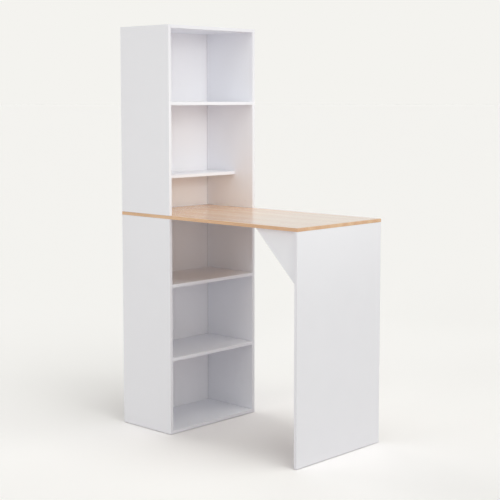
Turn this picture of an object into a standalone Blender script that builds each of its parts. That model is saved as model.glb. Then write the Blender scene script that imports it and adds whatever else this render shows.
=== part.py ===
"""Bar table with a shelf tower: white boards, an oak-look tabletop, one leg panel and two braces.

X runs from the tower's rear to the leg panel, Y from the near long edge to the far one, Z up.
The origin is on the floor, under the middle of the tabletop. All sizes are in metres.
"""
import math

import bmesh
import bpy
from mathutils import Matrix, Vector

# Boards
TABLE_LENGTH = 1.170
TABLE_WIDTH = 0.600
TABLE_HEIGHT = 1.084
TOWER_HEIGHT = 2.000
TOWER_DEPTH = 0.350
BOARD = 0.016
SHALLOW_SETBACK = 0.126
BRACE_REACH = 0.260
BRACE_DROP = 0.260
BRACE_TIP = 0.004
BRACE_SETBACK = 0.030

# Clear heights of four bays; the one under the tabletop and the top one take what is left
LOW_BAY = 0.347
MIDDLE_BAY = 0.348
OVER_TABLE_BAY = 0.170
UPPER_BAY = 0.346

# Back boards, which slide into grooves
BACK_BOARD = 0.003
BACK_INSET = 0.015
GROOVE_DEPTH = 0.006

# Edges
OAK_BAND = 0.0010
EDGE_ROUND = 0.0005

# Gap between pieces that touch or fit
GAP = 0.0003

# Cam fittings: a disc in the end of one board bites on the head of a bolt that comes from the other
CAM_SETBACK = 0.034
CAM_RADIUS = 0.0075
CAM_WEB = 0.0009
CAM_RECESS = 0.0002
THREAD_LENGTH = 0.0105
SHANK_RADIUS = 0.0026
COLLAR_RADIUS = 0.0036
COLLAR_LENGTH = 0.0020
NECK_RADIUS = 0.0018
NECK_LENGTH = 0.0050
HEAD_RADIUS = 0.0030
HEAD_LENGTH = 0.0030
HEAD_PAST_CENTRE = 0.0030
HEAD_BITE = 0.0005

# Dowels
DOWEL_RADIUS = 0.0040
DOWEL_LENGTH = 0.0300
DOWEL_FACE_DEPTH = 0.0100
DOWEL_CHAMFER = 0.0010
THROUGH_DOWEL_DEPTH = 0.0170

# Glides
GLIDE_HEIGHT = 0.003
GLIDE_RADIUS = 0.007
GLIDE_EDGE = 0.0008
GLIDE_PIN_RADIUS = 0.0012
GLIDE_PIN_LENGTH = 0.0120

# Places of the fittings
FRONT_INSET = 0.050
REAR_INSET = 0.060
LEG_CAM_OFFSET = 0.200
BRACE_CAM = 0.150
GLIDE_INSET = 0.040

# Sides of the round pieces, steps of a rounded edge, and how far a cutter stands out of the board
ROUND_SIDES = 12
DISC_SIDES = 16
EDGE_STEPS = 2
STANDOUT = 0.0020
MERGE = 0.00001

# Planes worked out from the sizes
HALF_BOARD = BOARD / 2
REAR = -TABLE_LENGTH / 2
FRONT = REAR + TOWER_DEPTH
LEG_OUT = TABLE_LENGTH / 2
LEG_IN = LEG_OUT - BOARD
NEAR = -TABLE_WIDTH / 2
FAR = TABLE_WIDTH / 2
NEAR_INNER = NEAR + BOARD
FAR_INNER = FAR - BOARD
GROOVE_REAR = REAR + BACK_INSET
BACK_FACE = GROOVE_REAR + BACK_BOARD
SHELF_REAR = BACK_FACE + GAP
SHALLOW_FRONT = FRONT - SHALLOW_SETBACK

# Heights of the undersides of the level boards
BOTTOM_Z = GLIDE_HEIGHT
LOW_SHELF_Z = BOTTOM_Z + BOARD + LOW_BAY
MIDDLE_SHELF_Z = LOW_SHELF_Z + BOARD + MIDDLE_BAY
TABLETOP_Z = TABLE_HEIGHT - BOARD
SHALLOW_SHELF_Z = TABLE_HEIGHT + OVER_TABLE_BAY
UPPER_SHELF_Z = SHALLOW_SHELF_Z + BOARD + UPPER_BAY
TOP_PANEL_Z = TOWER_HEIGHT - BOARD

# Colour, roughness and metallic value of each finish
WHITE_MELAMINE = ((0.80, 0.80, 0.81), 0.45, 0.0)
WHITE_BACK = ((0.78, 0.77, 0.79), 0.55, 0.0)
OAK_MELAMINE = ((0.72, 0.48, 0.29), 0.42, 0.0)
OAK_EDGING = ((0.62, 0.42, 0.21), 0.45, 0.0)
ZINC = ((0.62, 0.62, 0.63), 0.35, 1.0)
BEECH = ((0.66, 0.49, 0.32), 0.70, 0.0)
WHITE_PLASTIC = ((0.83, 0.83, 0.82), 0.40, 0.0)

# Directions
PLUS_X = Vector((1, 0, 0))
PLUS_Y = Vector((0, 1, 0))
PLUS_Z = Vector((0, 0, 1))
UNTURNED = Matrix.Identity(4)
Z_TO_X = Matrix.Rotation(math.pi / 2, 4, "Y")
HALF_TURN = Matrix.Rotation(math.pi, 4, "Z")

# The tower's sides: name, Y of the inner face, Y of the board's middle and the way inwards
TOWER_SIDES = (
    ("left", NEAR_INNER, NEAR + HALF_BOARD, PLUS_Y),
    ("right", FAR_INNER, FAR - HALF_BOARD, -PLUS_Y),
)

# The braces in the corners under the tabletop: name, Y of the board's middle and the way inwards
BRACES = (
    ("near_brace", NEAR + BRACE_SETBACK + HALF_BOARD, PLUS_Y),
    ("far_brace", FAR - BRACE_SETBACK - HALF_BOARD, -PLUS_Y),
)

# The level boards: name, underside, rear and front edges, which sides carry it, where its discs open
LEVEL_BOARDS = (
    ("bottom_panel", BOTTOM_Z, REAR, FRONT, "lower", -PLUS_Z),
    ("low_shelf", LOW_SHELF_Z, SHELF_REAR, FRONT, "lower", -PLUS_Z),
    ("middle_shelf", MIDDLE_SHELF_Z, SHELF_REAR, FRONT, "lower", -PLUS_Z),
    ("shallow_shelf", SHALLOW_SHELF_Z, SHELF_REAR, SHALLOW_FRONT, "upper", -PLUS_Z),
    ("upper_shelf", UPPER_SHELF_Z, SHELF_REAR, FRONT, "upper", -PLUS_Z),
    ("top_panel", TOP_PANEL_Z, REAR, FRONT, "upper", PLUS_Z),
)


def new_collection(name):
    """A collection linked to the scene."""
    collection = bpy.data.collections.new(name)
    bpy.context.scene.collection.children.link(collection)
    return collection


def new_material(name, finish):
    """A Principled material from a finish: colour, roughness and metallic value."""
    colour, roughness, metallic = finish
    material = bpy.data.materials.new(name)
    material.use_nodes = True
    shader = material.node_tree.nodes["Principled BSDF"]
    shader.inputs["Base Color"].default_value = (*colour, 1.0)
    shader.inputs["Roughness"].default_value = roughness
    shader.inputs["Metallic"].default_value = metallic
    material.diffuse_color = (*colour, 1.0)
    return material


def add_part(name, mesh, matrix):
    """A named sub-part in the object's collection."""
    part = bpy.data.objects.new(name, mesh)
    part.matrix_world = matrix
    parts.objects.link(part)
    return part


def finished_mesh(name, bm, finish=None):
    """The mesh made from a bmesh, with its faces pointing outwards, round where it is round."""
    bmesh.ops.recalc_face_normals(bm, faces=bm.faces)
    mesh = bpy.data.meshes.new(name)
    bm.to_mesh(mesh)
    bm.free()
    mesh.shade_smooth()
    mesh.set_sharp_from_angle(angle=math.radians(50))
    if finish is not None:
        mesh.materials.append(new_material(name + "_finish", finish))
    return mesh


def evaluated_bmesh(piece):
    """A bmesh of what an object gives with its modifiers, with loose seams welded."""
    bpy.context.view_layer.update()
    graph = bpy.context.evaluated_depsgraph_get()
    mesh = bpy.data.meshes.new_from_object(piece.evaluated_get(graph))
    bm = bmesh.new()
    bm.from_mesh(mesh)
    bmesh.ops.remove_doubles(bm, verts=bm.verts, dist=MERGE)
    bpy.data.meshes.remove(mesh)
    return bm


def helper_object(name, data):
    """An object that exists only while another shape is made from it."""
    helper = bpy.data.objects.new(name, data)
    bpy.context.scene.collection.objects.link(helper)
    return helper


def box_bmesh(size):
    """A box of the given size, centred on its own origin."""
    bm = bmesh.new()
    bmesh.ops.create_cube(bm, size=1.0, matrix=Matrix.Diagonal((*size, 1.0)))
    return bm


def add_rod(bm, frame, start, end, radius, sides, turn=UNTURNED):
    """A cylinder in a bmesh, from start to end along the frame's Z, or its X with turn=Z_TO_X."""
    middle = Matrix.Translation((0, 0, (start + end) / 2))
    bmesh.ops.create_cone(
        bm, cap_ends=True, segments=sides, radius1=radius, radius2=radius,
        depth=end - start, matrix=frame @ turn @ middle,
    )


def turned_bmesh(profile, sides, turn=UNTURNED):
    """A turned piece: the profile (radius, height) runs down its outer side and is swept round Z."""
    mesh = bpy.data.meshes.new("profile")
    points = [(radius, 0, height) for radius, height in profile]
    mesh.from_pydata(points, [(i, i + 1) for i in range(len(points) - 1)], [])
    lathe = helper_object("lathe", mesh)
    screw = lathe.modifiers.new("turn", "SCREW")
    screw.axis = "Z"
    screw.steps = sides
    screw.render_steps = sides
    screw.use_merge_vertices = True
    screw.merge_threshold = MERGE
    bm = evaluated_bmesh(lathe)
    bmesh.ops.transform(bm, matrix=turn, verts=bm.verts)
    bpy.data.objects.remove(lathe)
    return bm


def boolean_bmesh(base, operation, other):
    """What a Boolean makes of two bmeshes."""
    first = helper_object("base", finished_mesh("base", base))
    second = helper_object("other", finished_mesh("other", other))
    boolean = first.modifiers.new("boolean", "BOOLEAN")
    boolean.operation = operation
    boolean.solver = "EXACT"
    boolean.object = second
    bm = evaluated_bmesh(first)
    bpy.data.objects.remove(first)
    bpy.data.objects.remove(second)
    return bm


def round_over(bm, edges):
    """Rounds the edges that edging is glued over."""
    bmesh.ops.bevel(
        bm, geom=edges, offset=EDGE_ROUND, segments=EDGE_STEPS, profile=0.5, affect="EDGES",
    )


def side_edges(bm, size, outward, thick_axis):
    """The edges of the side of a box that faces outward, without those across its thickness."""
    reach = abs(size.dot(outward)) / 2 - MERGE
    edges = []
    for edge in bm.edges:
        start, end = (vertex.co for vertex in edge.verts)
        on_side = start.dot(outward) > reach and end.dot(outward) > reach
        if on_side and abs((end - start)[thick_axis]) < MERGE:
            edges.append(edge)
    return edges


def add_board(name, low, high, thick_axis=2, rounded=(), finish=WHITE_MELAMINE):
    """A board from corner to corner, rounded over on the sides that carry edging."""
    low, high = Vector(low), Vector(high)
    bm = box_bmesh(high - low)
    edges = []
    for outward in rounded:
        edges += side_edges(bm, high - low, outward, thick_axis)
    if edges:
        round_over(bm, edges)
    mesh = finished_mesh(name, bm, finish)
    boards[name] = add_part(name, mesh, Matrix.Translation((low + high) / 2))


def build_tower():
    """The boards of the tower, below and above the tabletop."""
    for name, y_low, y_high in (("left", NEAR, NEAR_INNER), ("right", FAR_INNER, FAR)):
        add_board(
            f"lower_{name}_side", (REAR, y_low, BOTTOM_Z), (FRONT, y_high, TABLETOP_Z - GAP),
            1, (PLUS_X, -PLUS_X),
        )
        add_board(
            f"upper_{name}_side", (REAR, y_low, TABLE_HEIGHT + GAP), (FRONT, y_high, TOWER_HEIGHT),
            1, (PLUS_X, -PLUS_X, PLUS_Z),
        )
    near, far = NEAR_INNER + GAP, FAR_INNER - GAP
    for name, z, rear, front, _, _ in LEVEL_BOARDS:
        rounded = (PLUS_X, -PLUS_X) if rear == REAR else (PLUS_X,)
        add_board(name, (rear, near, z), (front, far, z + BOARD), 2, rounded)
    add_back("lower_back", BOTTOM_Z + BOARD - GROOVE_DEPTH, TABLETOP_Z)
    add_back("upper_back", TABLE_HEIGHT, TOP_PANEL_Z + GROOVE_DEPTH)


def add_back(name, low_z, high_z):
    """A thin back board that reaches into the grooves."""
    reach = GROOVE_DEPTH - GAP
    low = (GROOVE_REAR, NEAR_INNER - reach, low_z + GAP)
    high = (BACK_FACE, FAR_INNER + reach, high_z - GAP)
    add_board(name, low, high, finish=WHITE_BACK)


def build_table():
    """The tabletop with its four edge bands, the leg panel and the two braces."""
    inset = Vector((OAK_BAND + GAP, OAK_BAND + GAP, 0))
    low, high = Vector((REAR, NEAR, TABLETOP_Z)), Vector((LEG_OUT, FAR, TABLE_HEIGHT))
    add_board("tabletop", low + inset, high - inset, finish=OAK_MELAMINE)
    near_in, far_in = NEAR + OAK_BAND, FAR - OAK_BAND
    short_low, short_high = near_in + GAP, far_in - GAP
    z_low, z_high = TABLETOP_Z, TABLE_HEIGHT
    for name, outward, corners in (
        ("near", -PLUS_Y, ((REAR, NEAR, z_low), (LEG_OUT, near_in, z_high))),
        ("far", PLUS_Y, ((REAR, far_in, z_low), (LEG_OUT, FAR, z_high))),
        ("tower", -PLUS_X, ((REAR, short_low, z_low), (REAR + OAK_BAND, short_high, z_high))),
        ("leg", PLUS_X, ((LEG_OUT - OAK_BAND, short_low, z_low), (LEG_OUT, short_high, z_high))),
    ):
        add_board(f"tabletop_band_{name}", *corners, 2, (outward,), OAK_EDGING)
    add_board(
        "leg_panel", (LEG_IN, NEAR, BOTTOM_Z), (LEG_OUT, FAR, TABLETOP_Z - GAP),
        0, (PLUS_Y, -PLUS_Y),
    )
    for name, middle_y, _ in BRACES:
        add_brace(name, middle_y)


def add_brace(name, middle_y):
    """A triangular board in the corner under the tabletop, rounded along its slope."""
    outline = [
        (-GAP, -GAP),
        (-BRACE_REACH, -GAP),
        (-BRACE_REACH, -BRACE_TIP),
        (-BRACE_TIP, -BRACE_DROP),
        (-GAP, -BRACE_DROP),
    ]
    curve = bpy.data.curves.new(name + "_outline", "CURVE")
    curve.dimensions = "2D"
    curve.fill_mode = "BOTH"
    curve.extrude = HALF_BOARD
    spline = curve.splines.new("POLY")
    spline.points.add(len(outline) - 1)
    for point, place in zip(spline.points, outline):
        point.co = (*place, 0, 1)
    spline.use_cyclic_u = True
    flat = helper_object(name + "_outline", curve)
    bm = evaluated_bmesh(flat)
    bpy.data.objects.remove(flat)
    slope = []
    for edge in bm.edges:
        along = edge.verts[1].co - edge.verts[0].co
        slanted = abs(along.x) > MERGE and abs(along.y) > MERGE
        if slanted and edge.calc_face_angle(0) > MERGE:
            slope.append(edge)
    round_over(bm, slope)
    mesh = finished_mesh(name, bm, WHITE_MELAMINE)
    corner = Matrix.Translation((LEG_IN, middle_y, TABLETOP_Z))
    boards[name] = add_part(name, mesh, corner @ Matrix.Rotation(math.pi / 2, 4, "X"))


def seat(point, into, face):
    """A joint's frame: X runs into the joined board, Z towards the face that the disc opens on."""
    rotation = Matrix((into, face.cross(into), face)).transposed().to_4x4()
    return Matrix.Translation(point) @ rotation


def drill(board, kind, frame, start, end, radius, sides=ROUND_SIDES, turn=Z_TO_X):
    """Notes a round hole for a board, to be cut with the others of its kind."""
    drillings.setdefault((board, kind), []).append((frame, start, end, radius, sides, turn))


def drill_for_disc(board, frame):
    """The pocket for a cam disc, and the channel from the board's end to it."""
    centre = frame @ Matrix.Translation((CAM_SETBACK, 0, 0))
    depth = HEAD_RADIUS + GAP + CAM_WEB + GAP
    mouth = HALF_BOARD + STANDOUT
    drill(board, "pockets", centre, -depth, mouth, CAM_RADIUS + GAP, DISC_SIDES, UNTURNED)
    drill(board, "holes", frame, -STANDOUT, CAM_SETBACK, COLLAR_RADIUS + GAP)


def join_with_cam(name, board, other, point, into, face):
    """One cam fitting: its disc sits in board, and its bolt is screwed into other."""
    frame = seat(point, into, face)
    drill_for_disc(board, frame)
    drill(other, "holes", frame, -THREAD_LENGTH - GAP, STANDOUT, SHANK_RADIUS + GAP)
    add_part(name, shapes["cam"], frame)


def join_with_dowel(name, board, other, point, into, face):
    """One dowel: most of its length is in the end of board, the rest in the face of other."""
    frame = seat(point, into, face)
    radius = DOWEL_RADIUS + GAP
    drill(board, "holes", frame, -STANDOUT, DOWEL_LENGTH - DOWEL_FACE_DEPTH + GAP, radius)
    drill(other, "holes", frame, -DOWEL_FACE_DEPTH - GAP, STANDOUT, radius)
    add_part(name, shapes["dowel"], frame)


def disc_bmesh():
    """A cam disc with a slot from its rim that the bolt's head slides into."""
    low = -(HEAD_RADIUS + GAP + CAM_WEB)
    disc = bmesh.new()
    add_rod(disc, UNTURNED, low, HALF_BOARD - CAM_RECESS, CAM_RADIUS, DISC_SIDES)
    width = 2 * (HEAD_RADIUS + GAP)
    start = -CAM_RADIUS - STANDOUT
    end = HEAD_PAST_CENTRE - HEAD_BITE
    slot = box_bmesh((end - start, width, width))
    bmesh.ops.translate(slot, vec=((start + end) / 2, 0, 0), verts=slot.verts)
    bm = boolean_bmesh(disc, "DIFFERENCE", slot)
    bmesh.ops.translate(bm, vec=(CAM_SETBACK, 0, 0), verts=bm.verts)
    return bm


def bolt_head_profile():
    """Head, thin neck and start of the shank of a cam bolt, from its tip back."""
    tip = CAM_SETBACK + HEAD_PAST_CENTRE
    head_start = tip - HEAD_LENGTH
    neck_start = head_start - NECK_LENGTH
    return [
        (0, tip),
        (HEAD_RADIUS, tip),
        (HEAD_RADIUS, head_start),
        (NECK_RADIUS, head_start - (HEAD_RADIUS - NECK_RADIUS)),
        (NECK_RADIUS, neck_start),
        (SHANK_RADIUS, neck_start - (SHANK_RADIUS - NECK_RADIUS)),
    ]


def cam_mesh():
    """A cam fitting as it is when locked: the disc with its bolt, which has a collar and a thread."""
    profile = bolt_head_profile() + [
        (SHANK_RADIUS, COLLAR_LENGTH),
        (COLLAR_RADIUS, GAP),
        (SHANK_RADIUS, 0),
        (SHANK_RADIUS, -THREAD_LENGTH),
        (0, -THREAD_LENGTH),
    ]
    bolt = turned_bmesh(profile, ROUND_SIDES, Z_TO_X)
    return finished_mesh("cam_fitting", boolean_bmesh(disc_bmesh(), "UNION", bolt), ZINC)


def double_cam_mesh():
    """The fitting that draws two boards onto the tabletop between them: a disc at both ends."""
    head = bolt_head_profile()
    profile = head + [(radius, -BOARD - height) for radius, height in reversed(head)]
    bolt = turned_bmesh(profile, ROUND_SIDES, Z_TO_X)
    discs = disc_bmesh()
    other = bpy.data.meshes.new("other_disc")
    discs.to_mesh(other)
    other.transform(Matrix.Translation((-BOARD, 0, 0)) @ HALF_TURN)
    discs.from_mesh(other)
    bpy.data.meshes.remove(other)
    return finished_mesh("double_cam_fitting", boolean_bmesh(discs, "UNION", bolt), ZINC)


def dowel_mesh(name, start, end):
    """A wooden dowel along X with chamfered ends."""
    profile = [
        (0, end),
        (DOWEL_RADIUS - DOWEL_CHAMFER, end),
        (DOWEL_RADIUS, end - DOWEL_CHAMFER),
        (DOWEL_RADIUS, start + DOWEL_CHAMFER),
        (DOWEL_RADIUS - DOWEL_CHAMFER, start),
        (0, start),
    ]
    return finished_mesh(name, turned_bmesh(profile, ROUND_SIDES, Z_TO_X), BEECH)


def glide_mesh():
    """A nail-on glide: a low disc on the floor with a pin that goes up into the board."""
    profile = [
        (0, GLIDE_PIN_LENGTH),
        (GLIDE_PIN_RADIUS, GLIDE_PIN_LENGTH - GLIDE_PIN_RADIUS),
        (GLIDE_PIN_RADIUS, -GAP),
        (GLIDE_RADIUS, -GAP),
        (GLIDE_RADIUS, -GLIDE_HEIGHT + GLIDE_EDGE),
        (GLIDE_RADIUS - GLIDE_EDGE, -GLIDE_HEIGHT),
        (0, -GLIDE_HEIGHT),
    ]
    return finished_mesh("glide", turned_bmesh(profile, DISC_SIDES), WHITE_PLASTIC)


def join_level_boards():
    """A cam and a dowel at both ends of each level board."""
    for board, z, _, front, unit, face in LEVEL_BOARDS:
        for part, inner_y, _, inwards in TOWER_SIDES:
            side = f"{unit}_{part}_side"
            point = Vector((front - FRONT_INSET, inner_y, z + HALF_BOARD))
            join_with_cam(f"{board}_cam_{part}", board, side, point, inwards, face)
            point.x = BACK_FACE + REAR_INSET
            join_with_dowel(f"{board}_dowel_{part}", board, side, point, inwards, face)


def seats_at_tabletop(x, y, face):
    """The frames under and over the tabletop at one place, for the sides that it parts."""
    down = seat(Vector((x, y, TABLETOP_Z)), -PLUS_Z, face)
    up = seat(Vector((x, y, TABLE_HEIGHT)), PLUS_Z, face)
    return down, up


def join_sides_through_tabletop():
    """A double cam fitting and a long dowel on each side of the tower, through the tabletop."""
    through = (-BOARD - STANDOUT, STANDOUT)
    radius = DOWEL_RADIUS + GAP
    for part, _, middle_y, inwards in TOWER_SIDES:
        lower, upper = f"lower_{part}_side", f"upper_{part}_side"
        down, up = seats_at_tabletop(FRONT - FRONT_INSET, middle_y, inwards)
        drill_for_disc(lower, down)
        drill_for_disc(upper, up)
        drill("tabletop", "holes", down, *through, COLLAR_RADIUS + GAP)
        add_part(f"tabletop_cam_{part}", shapes["double_cam"], down)
        down, up = seats_at_tabletop(BACK_FACE + REAR_INSET, middle_y, inwards)
        drill(lower, "holes", down, -STANDOUT, THROUGH_DOWEL_DEPTH + GAP, radius)
        drill(upper, "holes", up, -STANDOUT, THROUGH_DOWEL_DEPTH + GAP, radius)
        drill("tabletop", "holes", down, *through, radius)
        add_part(f"tabletop_dowel_{part}", shapes["through_dowel"], down)


def join_leg():
    """The fittings between the leg panel, the braces and the tabletop."""
    top = Vector((LEG_IN + HALF_BOARD, 0, TABLETOP_Z))
    for name, sign in (("near", -1), ("far", 1)):
        point = top + sign * LEG_CAM_OFFSET * PLUS_Y
        join_with_cam(f"leg_panel_cam_{name}", "leg_panel", "tabletop", point, -PLUS_Z, -PLUS_X)
    for brace, middle_y, inwards in BRACES:
        corner = Vector((LEG_IN, middle_y, TABLETOP_Z))
        for name, other, along, into in (
            ("top", "tabletop", -PLUS_X, -PLUS_Z),
            ("leg", "leg_panel", -PLUS_Z, -PLUS_X),
        ):
            point = corner + along * BRACE_CAM
            join_with_cam(f"{brace}_cam_{name}", brace, other, point, into, inwards)


def add_glide(name, board, x, y):
    """One glide under a board's bottom edge."""
    frame = Matrix.Translation((x, y, BOTTOM_Z))
    radius = GLIDE_PIN_RADIUS + GAP
    drill(board, "holes", frame, -STANDOUT, GLIDE_PIN_LENGTH + GAP, radius, ROUND_SIDES, UNTURNED)
    add_part(name, shapes["glide"], frame)


def add_glides():
    """Glides under the tower's sides and the leg panel."""
    for part, _, middle_y, _ in TOWER_SIDES:
        for end, x in (("rear", REAR + GLIDE_INSET), ("front", FRONT - GLIDE_INSET)):
            add_glide(f"glide_{part}_{end}", f"lower_{part}_side", x, middle_y)
    for name, y in (("near", NEAR + GLIDE_INSET), ("far", FAR - GLIDE_INSET)):
        add_glide(f"glide_leg_{name}", "leg_panel", LEG_IN + HALF_BOARD, y)


def cut(board, kind, bm):
    """Cuts a bmesh out of a board, with a wire object that is not shown in renders."""
    cutter = bpy.data.objects.new(f"{board}_{kind}", finished_mesh(f"{board}_{kind}", bm))
    cutter.hide_render = True
    cutter.display_type = "WIRE"
    cutters.objects.link(cutter)
    boolean = boards[board].modifiers.new(kind, "BOOLEAN")
    boolean.operation = "DIFFERENCE"
    boolean.solver = "EXACT"
    boolean.object = cutter


def cut_holes():
    """Cuts every noted hole, all of one kind in a board at once."""
    for (board, kind), rods in drillings.items():
        bm = bmesh.new()
        for rod in rods:
            add_rod(bm, *rod)
        cut(board, kind, bm)


def cut_groove(board, low, high):
    """Cuts the groove for a back board, from corner to corner."""
    low, high = Vector(low), Vector(high)
    bm = box_bmesh(high - low)
    bmesh.ops.translate(bm, vec=(low + high) / 2, verts=bm.verts)
    cut(board, "groove", bm)


def cut_grooves():
    """Grooves in the sides, the bottom panel and the top panel, which end out of sight."""
    x_low, x_high = GROOVE_REAR - GAP, BACK_FACE + GAP
    bottom = BOTTOM_Z + BOARD - GROOVE_DEPTH
    top = TOP_PANEL_Z + GROOVE_DEPTH
    lower_z = (bottom, TABLETOP_Z + STANDOUT)
    upper_z = (TABLE_HEIGHT - STANDOUT, top)
    for part, inner_y, _, inwards in TOWER_SIDES:
        ys = sorted((inner_y - inwards.y * GROOVE_DEPTH, inner_y + inwards.y * STANDOUT))
        for unit, (z_low, z_high) in (("lower", lower_z), ("upper", upper_z)):
            cut_groove(f"{unit}_{part}_side", (x_low, ys[0], z_low), (x_high, ys[1], z_high))
    near, far = NEAR_INNER - STANDOUT, FAR_INNER + STANDOUT
    cut_groove("bottom_panel", (x_low, near, bottom), (x_high, far, BOTTOM_Z + BOARD + STANDOUT))
    cut_groove("top_panel", (x_low, near, TOP_PANEL_Z - STANDOUT), (x_high, far, top))


for leftover in list(bpy.data.objects):
    bpy.data.objects.remove(leftover, do_unlink=True)
parts = new_collection("bar_table")
cutters = new_collection("cutters")
boards = {}
drillings = {}
shapes = {
    "cam": cam_mesh(),
    "double_cam": double_cam_mesh(),
    "dowel": dowel_mesh("dowel", -DOWEL_FACE_DEPTH, DOWEL_LENGTH - DOWEL_FACE_DEPTH),
    "through_dowel": dowel_mesh(
        "through_dowel", -BOARD - THROUGH_DOWEL_DEPTH, THROUGH_DOWEL_DEPTH
    ),
    "glide": glide_mesh(),
}

build_tower()
build_table()
join_level_boards()
join_sides_through_tabletop()
join_leg()
add_glides()
cut_grooves()
cut_holes()

print(f"bar_table: {len(parts.objects)} sub-parts")
print(f"height {TOWER_HEIGHT:.3f} m, tabletop {TABLE_HEIGHT:.3f} m above the floor")
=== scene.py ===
# %% [markdown]
# # A bar table that grows out of a shelf tower
#
# The object is a piece of flat-pack furniture: an open white tower of six compartments, an
# oak-look tabletop at bar height that runs right through the tower, and a white panel leg with
# two triangular braces at the other end. The imported CAD model brings every board, already in
# place and to size. This lesson dresses it. It sets up the camera and a plain pale studio, gives
# each board the finish of the real one, and makes the small fittings with Geometry Nodes, because
# they repeat.

# %% Load the CAD model and read the boxes of its parts
import math

import bpy
from mathutils import Matrix, Vector


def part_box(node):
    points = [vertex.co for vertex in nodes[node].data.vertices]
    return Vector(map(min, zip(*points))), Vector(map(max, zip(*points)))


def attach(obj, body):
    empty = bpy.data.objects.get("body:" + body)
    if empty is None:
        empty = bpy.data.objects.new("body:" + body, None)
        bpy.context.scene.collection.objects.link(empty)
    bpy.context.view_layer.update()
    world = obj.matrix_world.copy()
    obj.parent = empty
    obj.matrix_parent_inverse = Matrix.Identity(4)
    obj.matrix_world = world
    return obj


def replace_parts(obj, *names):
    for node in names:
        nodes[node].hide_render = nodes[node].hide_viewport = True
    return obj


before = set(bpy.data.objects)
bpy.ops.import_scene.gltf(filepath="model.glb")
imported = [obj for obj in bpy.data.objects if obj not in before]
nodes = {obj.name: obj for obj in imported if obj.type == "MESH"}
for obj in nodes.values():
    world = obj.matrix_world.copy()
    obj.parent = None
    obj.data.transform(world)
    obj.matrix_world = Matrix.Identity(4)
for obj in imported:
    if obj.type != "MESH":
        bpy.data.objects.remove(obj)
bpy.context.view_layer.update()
scene = bpy.context.scene
print("CAD nodes:", len(nodes))

# %% [markdown]
# Two helpers keep the rest short. Screen levels from 0 to 255 are bent by the sRGB curve, and
# Blender's colour sockets want them straightened, so `linear` undoes the curve. `add` makes one
# node, sets its properties, and fills or links its sockets, in a shader tree and a geometry tree
# alike.

# %% Helpers for colours and nodes
def linear(red, green, blue):
    """The colour that Blender's sockets take for three screen levels."""
    levels = (level / 255 for level in (red, green, blue))
    curve = [v / 12.92 if v <= 0.04045 else ((v + 0.055) / 1.055) ** 2.4 for v in levels]
    return (*curve, 1.0)


def add(tree, kind, inputs=None, **properties):
    """Adds one node. A socket given as an input is linked, and anything else is its value."""
    made = tree.nodes.new(kind)
    for name, value in properties.items():
        setattr(made, name, value)
    for name, value in (inputs or {}).items():
        if isinstance(value, bpy.types.NodeSocket):
            tree.links.new(value, made.inputs[name])
        else:
            made.inputs[name].default_value = value
    return made


def math_node(tree, operation, first, second=0.0, third=0.0):
    """One step of arithmetic, as a socket."""
    inputs = {0: first, 1: second, 2: third}
    return add(tree, "ShaderNodeMath", inputs, operation=operation).outputs[0]


# %% [markdown]
# The picture was taken from a standing person's eye level, a little above the table and to its
# leg end, with a long lens. A camera that tilts down by a few degrees would let upright edges
# converge, so part of the framing is done by shifting the lens, as an architect's camera does.

# %% Camera
CAMERA_PLACE = (4.0156, -4.2219, 1.6453)
CAMERA_HEADING = 2.32911
CAMERA_TILT_DOWN = 0.10119
SENSOR = 36.0
LENS = 86.42
LENS_SHIFT = -0.058
SIGHT_LIMIT = 2000.0

camera_data = bpy.data.cameras.new("camera")
camera_data.sensor_width = SENSOR
camera_data.lens = LENS
camera_data.shift_y = LENS_SHIFT
camera_data.clip_end = SIGHT_LIMIT
camera = bpy.data.objects.new("camera", camera_data)
camera.location = CAMERA_PLACE
camera.rotation_euler = (math.pi / 2 - CAMERA_TILT_DOWN, 0, CAMERA_HEADING - math.pi / 2)
scene.collection.objects.link(camera)
scene.camera = camera
scene.view_settings.view_transform = "Standard"
print("camera lens", LENS, "mm")

# %% [markdown]
# The studio is a pale floor under a pale sky. The floor is matt, so its brightness is the light
# that falls on it times its colour, and the sky that the camera sees is set to that same tone,
# which makes the horizon vanish. The sky that lights the object is separate, through Light Path:
# its level can be tuned without touching the background. The floor is divided in the same way,
# into the tone it shows and the weaker light it throws up at the boards.

# %% Floor and sky
BACKGROUND = linear(244, 243, 239)
SKY_LIGHT = (0.355, 0.361, 0.342, 1.0)
FLOOR_COLOUR = (0.991, 0.959, 0.972, 1.0)
FLOOR_BOUNCE = (0.68, 0.62, 0.63, 1.0)
FLOOR_HALF = 300.0


def look_and_light(tree, look, light):
    """One shader for how it looks, in mirrors and glass too, and another for what it lights."""
    path = add(tree, "ShaderNodeLightPath").outputs
    seen = math_node(tree, "MAXIMUM", path["Is Camera Ray"], path["Is Glossy Ray"])
    seen = math_node(tree, "MAXIMUM", seen, path["Is Transmission Ray"])
    inputs = {0: seen, 1: light.outputs[0], 2: look.outputs[0]}
    return add(tree, "ShaderNodeMixShader", inputs).outputs[0]


world = bpy.data.worlds.new("studio_sky")
world.use_nodes = True
sky = world.node_tree
sky.nodes.clear()
backdrop = add(sky, "ShaderNodeBackground", {"Color": BACKGROUND, "Strength": 1.0})
lighting = add(sky, "ShaderNodeBackground", {"Color": SKY_LIGHT, "Strength": 1.0})
add(sky, "ShaderNodeOutputWorld", {"Surface": look_and_light(sky, backdrop, lighting)})
scene.world = world

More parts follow.
